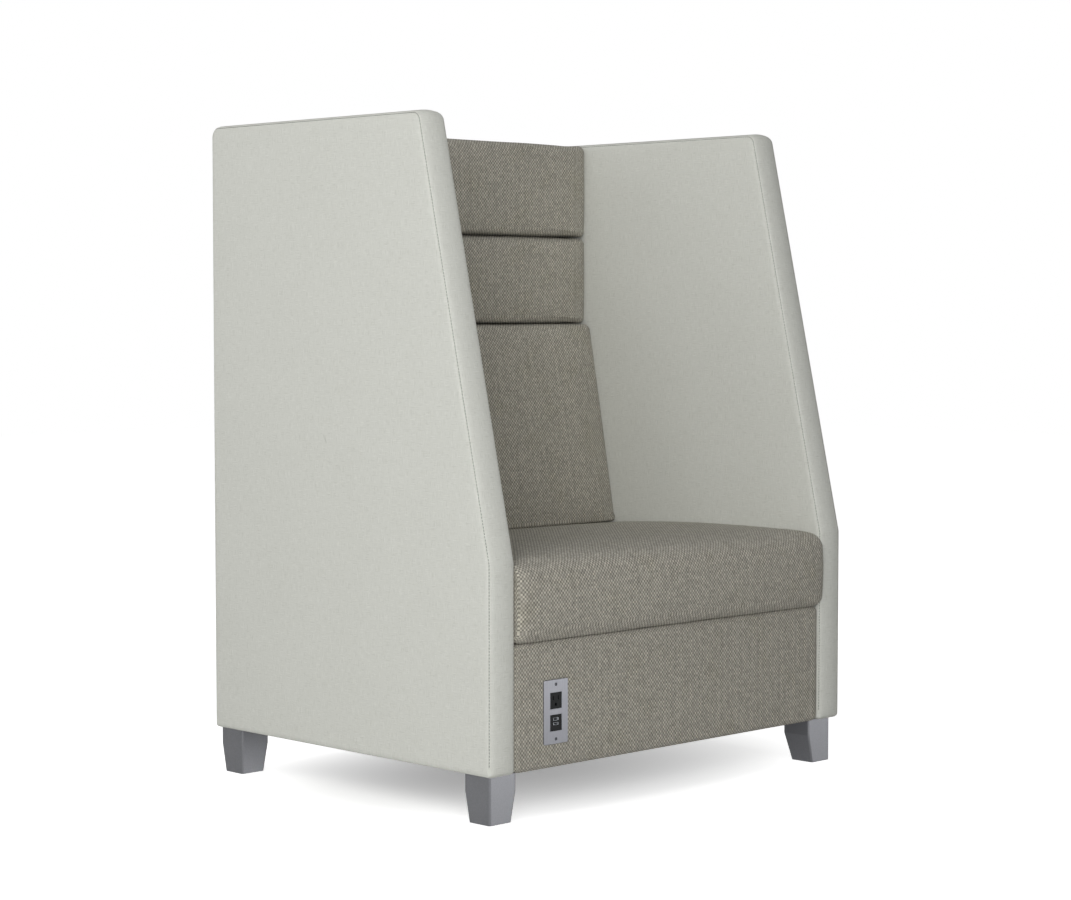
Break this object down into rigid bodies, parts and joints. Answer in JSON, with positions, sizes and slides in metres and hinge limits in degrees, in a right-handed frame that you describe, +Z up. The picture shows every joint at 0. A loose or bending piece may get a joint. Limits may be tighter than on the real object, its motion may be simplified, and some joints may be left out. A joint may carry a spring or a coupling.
{
  "type": "acoustic high back lounge chair",
  "caption": "High-back upholstered lounge chair with tall sloped acoustic side panels, stacked back cushions, tapered metal legs and a power unit in the front rail.",
  "frame": {"origin": "on the floor, under the middle of the chair's bounding box", "axes": "+Z up; the chair faces -Y, so +Y points out of its back; +X to the right as seen from the front"},
  "size_m": [0.98, 0.806, 1.27],
  "materials": {
    "panel_cloth": "plain woven panel cloth, light warm grey",
    "seat_cloth": "coarse two-tone basket weave, taupe and cream",
    "foam": "open cell polyurethane foam",
    "felt": "pressed polyester felt",
    "plywood": "birch plywood, raw",
    "leg_metal": "silver grey powder coat",
    "zinc_steel": "zinc plated",
    "spring_steel": "bare tempered wire",
    "plate_aluminium": "satin anodised",
    "black_plastic": "moulded",
    "glide_nylon": "moulded nylon",
    "dust_cloth": "black non-woven"
  },
  "bodies": {
    "chair": {"left_panel_cover": "panel_cloth", "left_panel_foam": "foam", "left_panel_felt": "felt", "left_panel_core": "plywood", "left_frame_rail": "plywood", "right_panel_cover": "panel_cloth", "right_panel_foam": "foam", "right_panel_felt": "felt", "right_panel_core": "plywood", "right_frame_rail": "plywood", "front_rail_cover": "seat_cloth", "front_rail_foam": "foam", "front_rail_board": "plywood", "front_frame_rail": "plywood", "rear_frame_rail": "plywood", "corner_blocks": "plywood", "seat_springs": "spring_steel", "spring_clips": "zinc_steel", "spring_pad": "felt", "dust_cover": "dust_cloth", "seat_foam": "foam", "seat_cushion": "seat_cloth", "upper_back_foam": "foam", "upper_back_board": "plywood", "upper_back_cushion": "seat_cloth", "middle_back_foam": "foam", "middle_back_board": "plywood", "middle_back_cushion": "seat_cloth", "lower_back_foam": "foam", "lower_back_board": "plywood", "lower_back_cushion": "seat_cloth", "back_frame": "plywood", "cushion_screws": "zinc_steel", "outer_back_board": "plywood", "outer_back_foam": "foam", "outer_back_cover": "panel_cloth", "panel_bolts": "zinc_steel", "bolt_sleeves": "zinc_steel", "threaded_inserts": "zinc_steel", "leg_studs": "zinc_steel", "glide_nuts": "zinc_steel", "front_left_leg": "leg_metal", "front_right_leg": "leg_metal", "rear_left_leg": "leg_metal", "rear_right_leg": "leg_metal", "power_faceplate": "plate_aluminium", "faceplate_screws": "zinc_steel", "power_receptacle": "black_plastic", "usb_module": "black_plastic", "power_box": "zinc_steel", "cable_bushing": "black_plastic"},
    "front_left_glide": {"front_left_glide_pad": "glide_nylon", "front_left_glide_stem": "zinc_steel"},
    "front_right_glide": {"front_right_glide_pad": "glide_nylon", "front_right_glide_stem": "zinc_steel"},
    "rear_left_glide": {"rear_left_glide_pad": "glide_nylon", "rear_left_glide_stem": "zinc_steel"},
    "rear_right_glide": {"rear_right_glide_pad": "glide_nylon", "rear_right_glide_stem": "zinc_steel"}
  },
  "joints": [
    {"name": "front_left_levelling", "type": "slide", "parent": "chair", "child": "front_left_glide", "axis": [0, 0, -1], "range_m": [0, 0.012]},
    {"name": "front_right_levelling", "type": "slide", "parent": "chair", "child": "front_right_glide", "axis": [0, 0, -1], "range_m": [0, 0.012]},
    {"name": "rear_left_levelling", "type": "slide", "parent": "chair", "child": "rear_left_glide", "axis": [0, 0, -1], "range_m": [0, 0.012]},
    {"name": "rear_right_levelling", "type": "slide", "parent": "chair", "child": "rear_right_glide", "axis": [0, 0, -1], "range_m": [0, 0.012]}
  ]
}
